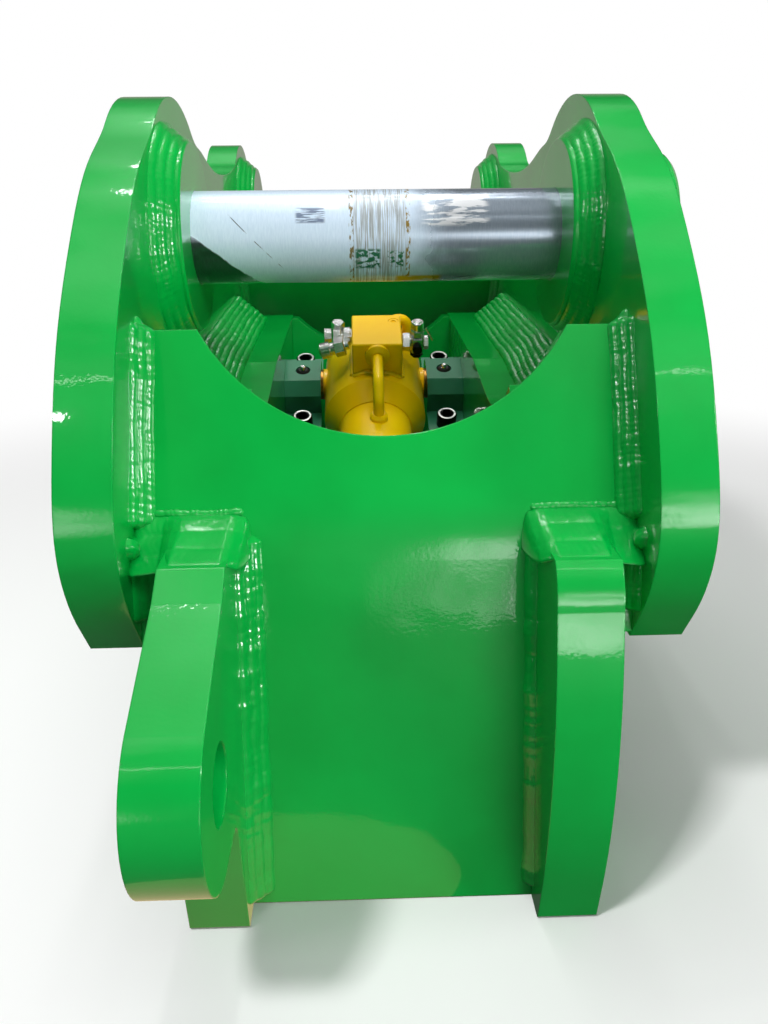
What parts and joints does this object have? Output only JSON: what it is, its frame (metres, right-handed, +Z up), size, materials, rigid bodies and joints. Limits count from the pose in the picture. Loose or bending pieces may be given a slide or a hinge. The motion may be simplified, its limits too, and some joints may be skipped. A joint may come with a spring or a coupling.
{
  "type": "excavator quick coupler",
  "caption": "Excavator quick coupler: tall side plates with bored ears, a bare stick pin, a front plate with a crescent cutout, and a trunnion ram that drives a lock wedge.",
  "frame": {"origin": "centre of the stick pin, midway between the side plates", "axes": "+X to the right along the stick pin, +Y from the stick pin to the link pin, +Z up, standing on the flat feet of the inner plates"},
  "size_m": [0.479, 1.085, 0.6048],
  "materials": {
    "green_paint": "glossy enamel",
    "dark_green_paint": "glossy enamel over machined steel",
    "yellow_paint": "glossy enamel",
    "ground_steel": "ground, with scuffs",
    "chromed_rod": "polished",
    "zinc_steel": "zinc plated",
    "black_steel": "blackened, worn bright at the edges",
    "bronze": "machined",
    "seal_rubber": "smooth"
  },
  "bodies": {
    "frame": {"bearer_rail_left": "dark_green_paint", "bearer_rail_right": "dark_green_paint", "bearing_block_bolts": "black_steel", "bearing_block_left": "dark_green_paint", "bearing_block_right": "dark_green_paint", "bearing_bushes": "bronze", "belly_plate": "green_paint", "cross_plate": "green_paint", "ear_tie_plate": "green_paint", "front_boss_left": "green_paint", "front_boss_right": "green_paint", "front_plate": "green_paint", "grease_nipples": "zinc_steel", "groove_weld_left": "green_paint", "groove_weld_right": "green_paint", "inner_plate_left": "green_paint", "inner_plate_right": "green_paint", "lower_guide_rails": "green_paint", "outer_plate_left": "green_paint", "outer_plate_right": "green_paint", "pin_collar": "green_paint", "pin_lock_bolt": "zinc_steel", "pin_lock_nuts": "zinc_steel", "rear_boss_left": "green_paint", "rear_boss_right": "green_paint", "rear_plate": "green_paint", "spacer_left": "green_paint", "spacer_right": "green_paint", "stick_pin": "ground_steel", "thrust_washers": "bronze", "upper_guide_rails": "green_paint", "wear_strips": "bronze"},
    "ram": {"ram_barrel": "yellow_paint", "trunnion_sleeve": "yellow_paint", "ram_end_cap": "yellow_paint", "ram_gland": "yellow_paint", "rod_seal": "seal_rubber", "valve_block": "yellow_paint", "valve_plug": "zinc_steel", "front_tube": "yellow_paint", "rear_tube": "yellow_paint", "tube_bosses": "yellow_paint", "left_port_fitting": "zinc_steel", "right_port_fitting": "zinc_steel"},
    "rod": {"piston": "ground_steel", "piston_seal": "seal_rubber", "piston_rod": "chromed_rod"},
    "wedge": {"lock_wedge": "green_paint", "rod_pin": "ground_steel", "rod_pin_clips": "black_steel"}
  },
  "joints": [
    {"name": "wedge_slide", "type": "slide", "parent": "frame", "child": "wedge", "axis": [0, 0.9659, 0.2588], "range_m": [0, 0.09]},
    {"name": "ram_swing", "type": "hinge", "parent": "frame", "child": "ram", "pos_m": [0, 0.242, -0.185], "axis": [1, 0, 0], "range_deg": [0, 3.78]},
    {"name": "rod_slide", "type": "slide", "parent": "ram", "child": "rod", "axis": [0, 0.9135, 0.4068], "range_m": [0, 0.08843]}
  ],
  "couplings": [
    {"joint": "ram_swing", "follows": "wedge_slide", "rad_per_m": 0.73307},
    {"joint": "rod_slide", "follows": "wedge_slide", "ratio": 0.98247}
  ]
}
